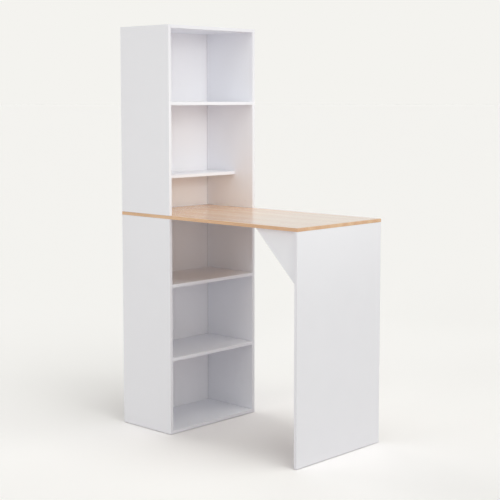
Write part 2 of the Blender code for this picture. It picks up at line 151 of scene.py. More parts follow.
floor_mesh = bpy.data.meshes.new("studio_floor")
corners = [(-FLOOR_HALF, -FLOOR_HALF, 0), (FLOOR_HALF, -FLOOR_HALF, 0)]
corners += [(FLOOR_HALF, FLOOR_HALF, 0), (-FLOOR_HALF, FLOOR_HALF, 0)]
floor_mesh.from_pydata(corners, [], [(0, 1, 2, 3)])
floor = bpy.data.objects.new("studio_floor", floor_mesh)
scene.collection.objects.link(floor)
floor_paint = bpy.data.materials.new("studio_floor")
floor_paint.use_nodes = True
floor_tree = floor_paint.node_tree
floor_tree.nodes.clear()
shown = add(floor_tree, "ShaderNodeBsdfDiffuse", {"Color": FLOOR_COLOUR, "Roughness": 0.0})
bounced = add(floor_tree, "ShaderNodeBsdfDiffuse", {"Color": FLOOR_BOUNCE, "Roughness": 0.0})
matt = look_and_light(floor_tree, shown, bounced)
add(floor_tree, "ShaderNodeOutputMaterial", {"Surface": matt})
floor_mesh.materials.append(floor_paint)
print("floor", 2 * FLOOR_HALF, "m wide")

# %% [markdown]
# The shadows tell where the light stood. Light from high over the leg end throws the tower's
# shadow to the left and darkens the floor between leg and tower. More of it comes from the front
# and from the back, so that no shadow is deep. A Sun lamp with a wide angle acts as such a soft
# box that is far away, and nothing falls off with distance. The lamps are a touch yellow and the
# white boards a touch blue, so outer faces look neutral, and insides, where light bounces twice,
# turn faintly blue. Low lamps aren't mirrored, or their image would bleach the tabletop for a
# viewer on the other side.

# %% Far lamps
LAMP_COLOUR = (0.962, 0.988, 0.944)
SUN_WIDTH = 36.0
LAMP_DISTANCE = 10.0
FAR_LAMPS = (
    # name, heading in degrees from +X towards +Y, height in degrees, strength, mirrored
    ("over_the_leg", -15.0, 50.0, 0.663, True),
    ("over_the_far_corner", 30.0, 65.0, 0.742, True),
    ("near_corner", -60.0, 40.0, 0.169, True),
    ("behind", 180.0, 40.0, 0.419, True),
    ("low_front", -30.0, 20.0, 0.269, False),
    ("low_near_side", -90.0, 20.0, 0.490, False),
)


def hang_lamp(lamp, place, towards):
    """Hangs a lamp at a place. It shines against the direction `towards`."""
    lamp.color = LAMP_COLOUR
    holder = bpy.data.objects.new(lamp.name, lamp)
    holder.location = place
    holder.rotation_euler = towards.to_track_quat("Z", "Y").to_euler()
    scene.collection.objects.link(holder)
    return holder


def direction(heading, height):
    """The direction for a heading and a height in degrees."""
    heading, height = math.radians(heading), math.radians(height)
    flat = math.cos(height)
    return Vector((flat * math.cos(heading), flat * math.sin(heading), math.sin(height)))


for name, heading, height, strength, mirrored in FAR_LAMPS:
    lamp = bpy.data.lights.new(name, "SUN")
    lamp.angle = math.radians(SUN_WIDTH)
    lamp.energy = strength
    towards = direction(heading, height)
    holder = hang_lamp(lamp, towards * LAMP_DISTANCE, towards)
    holder.visible_glossy = mirrored
print("far lamps:", len(FAR_LAMPS))

# %% [markdown]
# The side and the leg are lighter at the top than at the foot, and the upper compartments are
# brighter than the lamps above can make them. Only a lamp that stands close does that. These are
# soft boxes with a grid in front: a small spread keeps their light off the floor. Neither the
# camera nor the glossy tabletop sees them, so they can stand where a photographer couldn't leave
# them.

# %% Soft boxes near the table
BOX_SPREAD = math.radians(40)
SOFT_BOXES = (
    # name, what it aims at, heading, height in degrees, distance, side, watts
    ("box_front", (0.0, 0.0, 1.6), -45.0, 0.0, 3.6, 1.6, 1.1),
    ("box_far_side", (0.0, 0.0, 0.9), 110.0, 0.0, 3.6, 1.6, 4.2),
    ("box_compartments", (-0.35, 0.0, 1.5), 0.0, 15.0, 2.6, 1.0, 1.0),
)

for name, target, heading, height, distance, side, watts in SOFT_BOXES:
    lamp = bpy.data.lights.new(name, "AREA")
    lamp.shape = "SQUARE"
    lamp.size = side
    lamp.spread = BOX_SPREAD
    lamp.energy = watts
    towards = direction(heading, height)
    box = hang_lamp(lamp, Vector(target) + towards * distance, towards)
    box.visible_camera = False
    box.visible_glossy = False
print("soft boxes:", len(SOFT_BOXES))

# %% [markdown]
# Every board is chipboard with a printed or white melamine skin, and its cut edges are closed
# with a thin plastic band. Seen close, the white skin has a fine pearl texture, the band is a
# little smoother, and a hair-thin glue line runs where the two meet. All of that is a matter of
# finish, so it goes into the material. The patterns read Object coordinates, which are metres
# here because each board's place is in its mesh.

# %% White melamine
BAND_THICKNESS = 0.0008
SEAM_HALF, SEAM_STRENGTH = 0.00009, 0.6
WHITE = (0.921, 0.925, 0.979, 1.0)
WHITE_SHADE = (0.911, 0.915, 0.969, 1.0)
WHITE_BAND = (0.876, 0.872, 0.932, 1.0)
GLUE_LINE = (0.60, 0.58, 0.56, 1.0)
CLOUD_SCALE, WIPE_SCALE = 5.0, 22.0
CLOUD_RANGE, NOISE_RANGE, FACING_RANGE = (0.35, 0.65), (0.3, 0.7), (0.6, 0.8)
PEARL_SCALE, PEARL_HEIGHT = 900.0, 0.00004
RIPPLE_SCALE, RIPPLE_HEIGHT = 140.0, 0.00003
SKIN_ROUGHNESS, BAND_SMOOTHER = (0.31, 0.38), -0.02
PLASTIC_IOR = 1.5
BRACE_TIP = 0.004


def new_material(name):
    """A material with an empty Principled shader, and its tree."""
    material = bpy.data.materials.new(name)
    material.use_nodes = True
    return material, material.node_tree, material.node_tree.nodes["Principled BSDF"]


def noise(tree, place, scale, detail=2.0, roughness=0.5):
    """A noise value between about 0 and 1, as a socket."""
    inputs = {"Vector": place, "Scale": scale, "Detail": detail, "Roughness": roughness}
    return add(tree, "ShaderNodeTexNoise", inputs).outputs["Fac"]


def between(tree, value, low, high, to_low=0.0, to_high=1.0):
    """Spreads the values from low to high over another range, and holds them inside it."""
    inputs = {0: value, 1: low, 2: high, 3: to_low, 4: to_high}
    return add(tree, "ShaderNodeMapRange", inputs).outputs[0]


def blend_colours(tree, amount, first, second):
    """A mix of two colours, as a socket."""
    inputs = {"Factor": amount, "A": first, "B": second}
    mixed = add(tree, "ShaderNodeMix", data_type="RGBA")
    for socket in mixed.inputs:
        if not socket.enabled or socket.name not in inputs:
            continue
        value = inputs[socket.name]
        if isinstance(value, bpy.types.NodeSocket):
            tree.links.new(value, socket)
        else:
            socket.default_value = value
    return [socket for socket in mixed.outputs if socket.enabled][0]


def relief(tree, height, distance, strength=0.5, under=None):
    """A bump from a height between 0 and 1. It can lie on top of another bump."""
    inputs = {"Height": height, "Distance": distance, "Strength": strength}
    if under is not None:
        inputs["Normal"] = under
    return add(tree, "ShaderNodeBump", inputs).outputs["Normal"]


def along(tree, vector, direction):
    """How far a point or a normal reaches in a direction."""
    inputs = {0: vector, 1: direction}
    return add(tree, "ShaderNodeVectorMath", inputs, operation="DOT_PRODUCT").outputs["Value"]


def white_board_material(name, band_faces):
    """White melamine. band_faces are (direction, distance) of the planes that bands close."""
    material, tree, shader = new_material(name)
    coordinates = add(tree, "ShaderNodeTexCoord")
    place, normal = coordinates.outputs["Object"], coordinates.outputs["Normal"]
    band = 0.0
    seam = 0.0
    for direction, distance in band_faces:
        facing = between(tree, along(tree, normal, direction), *FACING_RANGE)
        band = math_node(tree, "MAXIMUM", band, facing)
        off = math_node(tree, "SUBTRACT", along(tree, place, direction), distance - BAND_THICKNESS)
        line = math_node(tree, "COMPARE", off, 0.0, SEAM_HALF)
        seam = math_node(tree, "MAXIMUM", seam, line)
    clouds = between(tree, noise(tree, place, CLOUD_SCALE, detail=3.0), *CLOUD_RANGE)
    skin = blend_colours(tree, clouds, WHITE, WHITE_SHADE)
    skin = blend_colours(tree, band, skin, WHITE_BAND)
    seam = math_node(tree, "MULTIPLY", seam, SEAM_STRENGTH)
    tree.links.new(blend_colours(tree, seam, skin, GLUE_LINE), shader.inputs["Base Color"])
    wipes = noise(tree, place, WIPE_SCALE, detail=4.0)
    wipe_marks = between(tree, wipes, *NOISE_RANGE, *SKIN_ROUGHNESS)
    smooth_band = math_node(tree, "MULTIPLY", band, BAND_SMOOTHER)
    roughness = math_node(tree, "ADD", wipe_marks, smooth_band)
    tree.links.new(roughness, shader.inputs["Roughness"])
    pearl = relief(tree, noise(tree, place, PEARL_SCALE), PEARL_HEIGHT)
    waves = noise(tree, place, RIPPLE_SCALE, detail=1.0)
    ripple = relief(tree, waves, RIPPLE_HEIGHT, under=pearl)
    tree.links.new(ripple, shader.inputs["Normal"])
    shader.inputs["IOR"].default_value = PLASTIC_IOR
    return material


tower_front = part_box("bottom_panel")[1].x
shallow_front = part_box("shallow_shelf")[1].x
leg_low, leg_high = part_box("leg_panel")
brace_low, brace_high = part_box("near_brace")
slope = Vector((-1, 0, -1)).normalized()
slope_reach = Vector((brace_low.x, 0, brace_high.z - BRACE_TIP)).dot(slope)
white_tower = white_board_material("white_melamine_tower", [((1, 0, 0), tower_front)])
white_shallow = white_board_material("white_melamine_shallow", [((1, 0, 0), shallow_front)])
white_leg = white_board_material(
    "white_melamine_leg", [((0, 1, 0), leg_high.y), ((0, -1, 0), -leg_low.y)]
)
white_brace = white_board_material("white_melamine_brace", [(tuple(slope), slope_reach)])
print("white boards: four versions of one finish")

# %% [markdown]
# The backs are thin hardboard in grooves. The side that faces the room is lacquered white over
# the pressed fibres, and the other side keeps the print of the wire screen it was pressed on,
# under a thin grey-white seal. One material can do both: the surface normal says which side is
# meant. Beside the tower's sides, where the hardboard slides into its groove, a hair-wide line of
# painted shade stands for the dark gap.

# %% White hardboard
LACQUER = (0.970, 0.955, 0.992, 1.0)
LACQUER_SHADE = (0.960, 0.945, 0.982, 1.0)
SEALED_FIBRE = (0.74, 0.71, 0.68, 1.0)
GROOVE_SHADE = (0.42, 0.40, 0.41, 1.0)
GROOVE_WIDTH = 0.0012
BACK_CLOUD_SCALE, FIBRE_SCALE = 6.0, 320.0
REAR_RANGE = (0.4, 0.6)
SCREEN_PITCH, SCREEN_HEIGHT = 1100.0, 0.00012
PEEL_SCALE, PEEL_HEIGHT = 420.0, 0.00004
LACQUER_ROUGHNESS, REAR_ROUGHER = 0.45, 0.25

inner_half = abs(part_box("upper_left_side")[1].y)
white_back, tree, shader = new_material("white_hardboard")
coordinates = add(tree, "ShaderNodeTexCoord")
place = coordinates.outputs["Object"]
rear = between(tree, along(tree, coordinates.outputs["Normal"], (-1, 0, 0)), *REAR_RANGE)
clouds = between(tree, noise(tree, place, BACK_CLOUD_SCALE, detail=3.0), *CLOUD_RANGE)
lacquer = blend_colours(tree, clouds, LACQUER, LACQUER_SHADE)
fibres = between(tree, noise(tree, place, FIBRE_SCALE, detail=4.0, roughness=0.65), *CLOUD_RANGE)
sealed = blend_colours(tree, fibres, SEALED_FIBRE, LACQUER_SHADE)
off_middle = math_node(tree, "ABSOLUTE", along(tree, place, (0, 1, 0)))
# Painted shade: a hair-wide dark line beside the tower's sides, where the groove's gap lies in
# shade.
painted_groove_shade = between(tree, off_middle, inner_half - GROOVE_WIDTH, inner_half - GROOVE_WIDTH / 2)
lacquer = blend_colours(tree, painted_groove_shade, lacquer, GROOVE_SHADE)
tree.links.new(blend_colours(tree, rear, lacquer, sealed), shader.inputs["Base Color"])
roughness = math_node(tree, "MULTIPLY_ADD", rear, REAR_ROUGHER, LACQUER_ROUGHNESS)
tree.links.new(roughness, shader.inputs["Roughness"])
screen = rear
for wires in ((0, 1, 0), (0, 0, 1)):
    phase = math_node(tree, "MULTIPLY", along(tree, place, wires), SCREEN_PITCH)
    screen = math_node(tree, "MULTIPLY", screen, math_node(tree, "SINE", phase))
pressed = relief(tree, screen, SCREEN_HEIGHT)
orange_peel = relief(tree, noise(tree, place, PEEL_SCALE), PEEL_HEIGHT, under=pressed)
tree.links.new(orange_peel, shader.inputs["Normal"])
print("hardboard: lacquered face, sealed back")

# %% [markdown]
# The tabletop is printed oak. Oak seen along its length has three scales of pattern: soft bands
# of paler and darker wood a few centimetres wide, fine streaks, and short dark pores. Noise
# stretched along the grain gives each of them. A slow sideways drift keeps the lines from running
# dead straight, and the same drift moves all three, so the pores follow the streaks. Towards the
# leg the print is mixed with a pale tone, as it looks in the picture: a painted reflection, the
# wash of bright light that the glossy top mirrors at that end. The edge bands are plastic strips
# with the same print in a deeper, quieter tone, and no painted reflection.

# %% Oak print
OAK_PALE = (0.875, 0.595, 0.375, 1.0)
OAK_MIDDLE = (0.795, 0.475, 0.290, 1.0)
OAK_DEEP = (0.560, 0.345, 0.200, 1.0)
OAK_PORE = (0.385, 0.232, 0.136, 1.0)
# The next two lines are painted reflection: a pale tone, and where along the top the print is
# mixed towards it.
OAK_PAINTED_REFLECTION = (0.660, 0.585, 0.560, 1.0)
REFLECTION_START, REFLECTION_END = -0.30, 0.25
# Noise scales along the grain, across it and through the board, per metre
DRIFT_SCALE = (1.1, 4.0, 4.0)
BAND_SCALE = (0.7, 17.0, 17.0)
STREAK_SCALE = (2.4, 260.0, 260.0)
PORE_SCALE = (42.0, 1250.0, 1250.0)
DRIFT_RANGE, BAND_RANGE = (0.2, 0.8), (0.40, 0.60)
STREAK_RANGE, PORE_RANGE = (0.48, 0.70), (0.62, 0.72)
DRIFT_REACH, BAND_SWAY = 0.012, 0.3
STREAK_STRENGTH, PORE_STRENGTH = 0.85, 0.5
STREAK_HEIGHT, PIT_DEPTH, PIT_STRENGTH = 0.00005, 0.00008, 0.6
OVERLAY_ROUGHNESS = (0.10, 0.17)


def grain_noise(tree, place, scale, drift=None, **texture):
    """Noise scaled differently along and across the grain."""
    if drift is not None:
        place = add(tree, "ShaderNodeVectorMath", {0: place, 1: drift}, operation="ADD").outputs[0]
    place = add(tree, "ShaderNodeMapping", {"Vector": place, "Scale": scale}).outputs[0]
    return noise(tree, place, 1.0, **texture)


def oak_pattern(tree, place, contrast, painted_reflection, stain):
    """Colour, streaks and pores of an oak print whose grain runs along X.

    contrast is the strength of streaks and pores, painted_reflection how much a painted reflection
    pales the leg end, and stain the share of the deep tone that lies over all of it.
    """
    slow = grain_noise(tree, place, DRIFT_SCALE)
    sideways = between(tree, slow, *DRIFT_RANGE, -DRIFT_REACH, DRIFT_REACH)
    drift = add(tree, "ShaderNodeCombineXYZ", {"Y": sideways, "Z": sideways}).outputs[0]
    bands = grain_noise(tree, place, BAND_SCALE, drift, detail=3.0, roughness=0.55)
    streaks = grain_noise(tree, place, STREAK_SCALE, drift, detail=3.0, roughness=0.6)
    pores = grain_noise(tree, place, PORE_SCALE, drift)
    pale = between(tree, bands, *BAND_RANGE)
    colour = blend_colours(tree, pale, OAK_MIDDLE, OAK_PALE)
    dark = between(tree, streaks, *STREAK_RANGE, stain, STREAK_STRENGTH * contrast)
    colour = blend_colours(tree, dark, colour, OAK_DEEP)
    open_pores = between(tree, pores, *PORE_RANGE, 0.0, PORE_STRENGTH * contrast)
    colour = blend_colours(tree, open_pores, colour, OAK_PORE)
    # Painted reflection: towards the leg end the colour is mixed with the pale tone, which stands
    # for light mirrored by the glossy top.
    length = along(tree, place, (1, 0, 0))
    uneven = math_node(tree, "MULTIPLY_ADD", bands, BAND_SWAY, length)
    middle = BAND_SWAY / 2
    reflection_share = between(tree, uneven, REFLECTION_START + middle, REFLECTION_END + middle, 0.0, painted_reflection)
    colour = blend_colours(tree, reflection_share, colour, OAK_PAINTED_REFLECTION)
    return colour, streaks, open_pores


def oak_material(name, contrast, painted_reflection, stain):
    """The oak print under a satin overlay, with pores that can be felt."""
    material, tree, shader = new_material(name)
    place = add(tree, "ShaderNodeTexCoord").outputs["Object"]
    colour, streaks, pores = oak_pattern(tree, place, contrast, painted_reflection, stain)
    tree.links.new(colour, shader.inputs["Base Color"])
    roughness = between(tree, streaks, *NOISE_RANGE, *OVERLAY_ROUGHNESS)
    tree.links.new(roughness, shader.inputs["Roughness"])
    grain = relief(tree, streaks, STREAK_HEIGHT)
    closed = math_node(tree, "SUBTRACT", 1.0, pores)
    pits = relief(tree, closed, PIT_DEPTH, PIT_STRENGTH, under=grain)
    tree.links.new(pits, shader.inputs["Normal"])
    shader.inputs["IOR"].default_value = PLASTIC_IOR
    return material


# The top gets the painted reflection towards the leg end, and the edge band gets none.
oak_top = oak_material("oak_print", contrast=1.0, painted_reflection=0.55, stain=0.0)
oak_band = oak_material("oak_edge_band", contrast=0.7, painted_reflection=0.0, stain=0.16)
print("oak: board and edge band")

# %% [markdown]
# The fittings are zinc, plated steel, beech and moulded plastic. They are mostly hidden, but the
# discs of the shelves show from below and those of the top panel from above, so each gets a
# proper finish. Their patterns read `own_place`, an attribute that the Geometry Nodes trees below
# store before a fitting is turned into position, so the beech grain follows each dowel whichever
# way it points.

# %% Finishes of the fittings
ROUGHNESS_SPREAD = 0.05


def fitting_material(name, base, shade, metallic, rough, stretch, grain_height):
    """A finish whose pattern follows the fitting that carries it."""
    material, tree, shader = new_material(name)
    place = add(tree, "ShaderNodeAttribute", attribute_name="own_place").outputs["Vector"]
    pattern = grain_noise(tree, place, stretch, detail=3.0, roughness=0.6)
    spread = between(tree, pattern, *NOISE_RANGE)
    tree.links.new(blend_colours(tree, spread, base, shade), shader.inputs["Base Color"])
    limits = (rough - ROUGHNESS_SPREAD, rough + ROUGHNESS_SPREAD)
    roughness = between(tree, pattern, *NOISE_RANGE, *limits)
    tree.links.new(roughness, shader.inputs["Roughness"])
    tree.links.new(relief(tree, pattern, grain_height), shader.inputs["Normal"])
    shader.inputs["Metallic"].default_value = metallic
    return material


zinc = fitting_material(
    "cast_zinc", base=(0.55, 0.56, 0.58, 1), shade=(0.47, 0.48, 0.50, 1),
    metallic=1.0, rough=0.42, stretch=(900, 900, 900), grain_height=0.00005,
)
steel = fitting_material(
    "plated_steel", base=(0.66, 0.67, 0.69, 1), shade=(0.58, 0.59, 0.60, 1),
    metallic=1.0, rough=0.34, stretch=(700, 700, 700), grain_height=0.00002,
)
beech = fitting_material(
    "turned_beech", base=(0.66, 0.46, 0.30, 1), shade=(0.52, 0.34, 0.20, 1),
    metallic=0.0, rough=0.62, stretch=(1500, 1500, 90), grain_height=0.00008,
)
plastic = fitting_material(
    "moulded_plastic", base=(0.905, 0.908, 0.955, 1), shade=(0.885, 0.888, 0.935, 1),
    metallic=0.0, rough=0.36, stretch=(1200, 1200, 1200), grain_height=0.00002,
)
print("fittings: zinc, steel, beech, plastic")

# %% [markdown]
# Now the boards take their finishes. A CAD node whose shape is right keeps its mesh, and only its
# material slot changes.

# %% Give each board its finish
FINISHES = {
    "white_board": white_tower,
    "white_back": white_back,
    "oak_board": oak_top,
    "oak_edging": oak_band,
    "zinc": zinc,
    "beech": beech,
    "white_plastic": plastic,
}
SPECIAL = {
    "shallow_shelf": white_shallow,
    "leg_panel": white_leg,
    "near_brace": white_brace,
    "far_brace": white_brace,
}
for node_name, board in nodes.items():
    slot_name = board.data.materials[0].name
    board.data.materials[0] = SPECIAL.get(node_name, FINISHES[slot_name])
print("dressed:", len(nodes), "nodes")

# %% [markdown]
# Boards like these are held together from inside. A bolt is screwed into one board, its head
# slides into the end of the next, and a zinc disc that is turned with a screwdriver pulls it
# tight. Wooden dowels keep the boards from turning. The same few shapes come back dozens of
# times, so each is made once with Geometry Nodes and set on points, one point for each CAD node
# that it stands for. A seat is the frame of one fitting: X runs into the board that holds it, Z
# towards the face it opens on.

# %% Where the fittings sit
ALONG, ACROSS, UP = Vector((1, 0, 0)), Vector((0, 1, 0)), Vector((0, 0, 1))
HALF_BOARD = 0.008
DISC_SETBACK = 0.034
DISC_RADIUS = 0.0075
DISC_TOP = 0.0078
OPENS = {
    "bottom_panel": -UP,
    "low_shelf": -UP,
    "middle_shelf": -UP,
    "shallow_shelf": -UP,
    "upper_shelf": -UP,
    "top_panel": UP,
}
ENDS = (("left", ACROSS), ("right", -ACROSS))


def seat(place, into, face):
    """A frame at a place, from the way into the board and the way its face looks."""
    axes = Matrix((into, face.cross(into), face)).transposed()
    return Matrix.Translation(place) @ axes.to_4x4()


def reach(corners, direction):
    """How far the box goes in a direction along one of the axes."""
    return max(corner.dot(direction) for corner in corners)


def disc_seat(node_name, into, face):
    """The seat of a disc fitting, read from the box of its CAD node."""
    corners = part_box(node_name)
    place = (corners[0] + corners[1]) / 2
    place += into * (reach(corners, into) - DISC_SETBACK - DISC_RADIUS - place.dot(into))
    place += face * (reach(corners, face) - DISC_TOP - place.dot(face))
    return seat(place, into, face)


def middle_seat(node_name, into, face):
    """A seat in the middle of a CAD node's box."""
    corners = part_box(node_name)
    return seat((corners[0] + corners[1]) / 2, into, face)


disc_seats = {}
short_dowel_seats = {}
for board_name, opens in OPENS.items():
    for end, into in ENDS:
        disc_seats[f"{board_name}_cam_{end}"] = (into, opens)
        short_dowel_seats[f"{board_name}_dowel_{end}"] = (into, opens)
for end in ("near", "far"):
    disc_seats[f"leg_panel_cam_{end}"] = (-UP, -ALONG)
for brace, inwards in (("near_brace", ACROSS), ("far_brace", -ACROSS)):
    disc_seats[f"{brace}_cam_top"] = (-UP, inwards)
    disc_seats[f"{brace}_cam_leg"] = (-ALONG, inwards)
double_seats = {f"tabletop_cam_{end}": (-UP, inwards) for end, inwards in ENDS}
long_dowel_seats = {f"tabletop_dowel_{end}": (-UP, inwards) for end, inwards in ENDS}
disc_seats = {name: disc_seat(name, *ways) for name, ways in disc_seats.items()}
double_seats = {name: disc_seat(name, *ways) for name, ways in double_seats.items()}
short_dowel_seats = {name: middle_seat(name, *ways) for name, ways in short_dowel_seats.items()}
long_dowel_seats = {name: middle_seat(name, *ways) for name, ways in long_dowel_seats.items()}
print("seats:", len(disc_seats) + len(double_seats), "discs,",
      len(short_dowel_seats) + len(long_dowel_seats), "dowels")

# %% [markdown]
# A turned shape is a profile swept round an axis. Geometry Nodes has no lathe, but a grid can be
# bent into one: each row of the grid is a ring, and Set Position puts a vertex at its ring's
# radius and height and at its own angle. Merging by distance closes the seam and the two poles.
# The profile starts at the middle of the top, so that the faces look outwards. Before it leaves
# the lathe, each shape stores where its points are, for the finishes that read `own_place`.

# %% A lathe made of nodes
WELD = 0.000002
CREASE = math.radians(35)


def new_tree(name, sizes):
    """A Geometry Nodes tree with points as its input, and named sizes and finishes."""
    tree = bpy.data.node_groups.new(name, "GeometryNodeTree")
    tree.interface.new_socket("Fittings", in_out="OUTPUT", socket_type="NodeSocketGeometry")
    tree.interface.new_socket("Seats", in_out="INPUT", socket_type="NodeSocketGeometry")
    kinds = {int: "NodeSocketInt", float: "NodeSocketFloat"}
    for label, value in sizes.items():
        kind = kinds.get(type(value), "NodeSocketMaterial")
        tree.interface.new_socket(label, in_out="INPUT", socket_type=kind)
    return tree, add(tree, "NodeGroupInput").outputs


def pick(tree, number, values):
    """The value in a list that a number points to."""
    switch = add(tree, "GeometryNodeIndexSwitch", data_type="FLOAT")
    while len(switch.index_switch_items) < len(values):
        switch.index_switch_items.new()
    tree.links.new(number, switch.inputs[0])
    for socket, value in zip(switch.inputs[1:], values):
        if isinstance(value, bpy.types.NodeSocket):
            tree.links.new(value, socket)
        else:
            socket.default_value = value
    return switch.outputs[0]


def turned(tree, profile, sides, flutes=0, flute_depth=0.0):
    """A closed shape from a profile of (radius, height), swept round Z."""
    count = math_node(tree, "ADD", sides, 1.0)
    grid = add(tree, "GeometryNodeMeshGrid", {"Vertices X": len(profile), "Vertices Y": count})
    index = add(tree, "GeometryNodeInputIndex").outputs[0]
    ring = math_node(tree, "DIVIDE", math_node(tree, "ADD", index, 0.5), count)
    ring = math_node(tree, "FLOOR", ring)
    step = math_node(tree, "SUBTRACT", index, math_node(tree, "MULTIPLY", ring, count))
    angle = math_node(tree, "DIVIDE", math_node(tree, "MULTIPLY", step, math.tau), sides)
    radius = pick(tree, ring, [row[0] for row in profile])
    height = pick(tree, ring, [row[1] for row in profile])
    if flutes:
        wave = math_node(tree, "COSINE", math_node(tree, "MULTIPLY", angle, flutes))
        share = math_node(tree, "MULTIPLY_ADD", wave, flute_depth / 2, 1 - flute_depth / 2)
        radius = math_node(tree, "MULTIPLY", radius, share)
    across = math_node(tree, "MULTIPLY", radius, math_node(tree, "COSINE", angle))
    deep = math_node(tree, "MULTIPLY", radius, math_node(tree, "SINE", angle))
    place = add(tree, "ShaderNodeCombineXYZ", {0: across, 1: deep, 2: height}).outputs[0]
    bent = add(
        tree, "GeometryNodeSetPosition", {"Geometry": grid.outputs["Mesh"], "Position": place}
    )
    welded = add(
        tree, "GeometryNodeMergeByDistance", {"Geometry": bent.outputs[0], "Distance": WELD}
    )
    return welded.outputs[0]


def block(tree, size, centre):
    """A box, to cut with."""
    box = add(tree, "GeometryNodeMeshCube", {"Size": size})
    return moved(tree, box.outputs["Mesh"], centre)


def moved(tree, shape, offset=(0, 0, 0), turn=(0, 0, 0)):
    """A shape turned about the axes and then shifted."""
    inputs = {"Geometry": shape, "Translation": offset, "Rotation": turn}
    return add(tree, "GeometryNodeTransform", inputs).outputs[0]


def joined(tree, *shapes):
    """Several shapes as one."""
    node = add(tree, "GeometryNodeJoinGeometry")
    for shape in shapes:
        tree.links.new(shape, node.inputs[0])
    return node.outputs[0]


def marked(tree, shape, name, value, data_type, domain="POINT"):
    """A shape that remembers a value under a name."""
    node = add(tree, "GeometryNodeStoreNamedAttribute", data_type=data_type, domain=domain)
    tree.links.new(shape, node.inputs["Geometry"])
    node.inputs["Name"].default_value = name
    if isinstance(value, bpy.types.NodeSocket):
        tree.links.new(value, node.inputs["Value"])
    else:
        node.inputs["Value"].default_value = value
    return node.outputs[0]


def set_on_seats(tree, inputs, shape, finish, second=None):
    """Ends a tree: smooth where it is round, an instance on each seat, real mesh, finish."""
    place = add(tree, "GeometryNodeInputPosition").outputs[0]
    shape = marked(tree, shape, "own_place", place, "FLOAT_VECTOR")
    smooth = add(tree, "GeometryNodeSetShadeSmooth", {"Geometry": shape, "Shade Smooth": True})
    bend = add(tree, "GeometryNodeInputMeshEdgeAngle").outputs["Unsigned Angle"]
    sharp = math_node(tree, "GREATER_THAN", bend, CREASE)
    creased = add(tree, "GeometryNodeSetShadeSmooth", domain="EDGE")
    tree.links.new(smooth.outputs[0], creased.inputs["Geometry"])
    tree.links.new(sharp, creased.inputs["Selection"])
    creased.inputs["Shade Smooth"].default_value = False
    turn = add(tree, "GeometryNodeInputNamedAttribute", {"Name": "turn"}, data_type="FLOAT_VECTOR")
    rotation = add(tree, "FunctionNodeEulerToRotation", {0: turn.outputs[0]}).outputs[0]
    copies = add(tree, "GeometryNodeInstanceOnPoints", {
        "Points": inputs["Seats"], "Instance": creased.outputs[0], "Rotation": rotation,
    })
    real = add(tree, "GeometryNodeRealizeInstances", {"Geometry": copies.outputs[0]})
    done = add(tree, "GeometryNodeSetMaterial", {"Geometry": real.outputs[0], "Material": finish})
    if second is not None:
        chosen = add(tree, "GeometryNodeInputNamedAttribute", {"Name": "second_finish"},
                     data_type="BOOLEAN").outputs[0]
        done = add(tree, "GeometryNodeSetMaterial", {
            "Geometry": done.outputs[0], "Selection": chosen, "Material": second,
        })
    add(tree, "NodeGroupOutput", {0: done.outputs[0]})


def make_fittings(name, tree, sizes, seats):
    """Runs a tree on its seats and keeps the result as a plain mesh that rides on the table."""
    points = bpy.data.meshes.new(name + "_seats")
    points.from_pydata([place.translation for place in seats], [], [])
    turn = points.attributes.new("turn", "FLOAT_VECTOR", "POINT")
    for entry, place in zip(turn.data, seats):
        entry.vector = place.to_euler()
    host = bpy.data.objects.new(name + "_seats", points)
    scene.collection.objects.link(host)
    modifier = host.modifiers.new("nodes", "NODES")
    modifier.node_group = tree
    identifiers = {item.name: item.identifier for item in tree.interface.items_tree}
    for label, value in sizes.items():
        modifier[identifiers[label]] = value
    graph = bpy.context.evaluated_depsgraph_get()
    mesh = bpy.data.meshes.new_from_object(host.evaluated_get(graph), depsgraph=graph)
    host.modifiers.remove(modifier)
    bpy.data.objects.remove(host)
    bpy.data.meshes.remove(points)
    mesh.name = name
    mesh.materials.pop(index=0)
    piece = bpy.data.objects.new(name, mesh)
    scene.collection.objects.link(piece)
    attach(piece, "root")
    print(name, len(seats), "fittings,", len(mesh.polygons), "faces")
    return piece


# %% [markdown]
# The disc is die-cast zinc, 15 mm across. Its face has a raised rim, a sunk field and a cross for
# the screwdriver, and a notch in the rim points to the bolt. The bolt's head enters through a
# slot in the side. The cross, the notch and the slot are cut with a Boolean node, and the rest is
# turned.

# %% The disc
DISC_SIZES = {
    "Disc radius": DISC_RADIUS,
    "Disc top": DISC_TOP,
    "Disc bottom": -0.0042,
    "Rim width": 0.0009,
    "Field depth": 0.0005,
    "Cross length": 0.0088,
    "Cross width": 0.0013,
    "Cross depth": 0.0028,
    "Sides": 32,
}
EDGE_BREAK = 0.0003
NOTCH_SIZE = (0.0030, 0.0007, 0.0008)
SLOT_SIZE, SLOT_PLACE = (0.0120, 0.0066, 0.0066), (-0.0035, 0.0, 0.0)


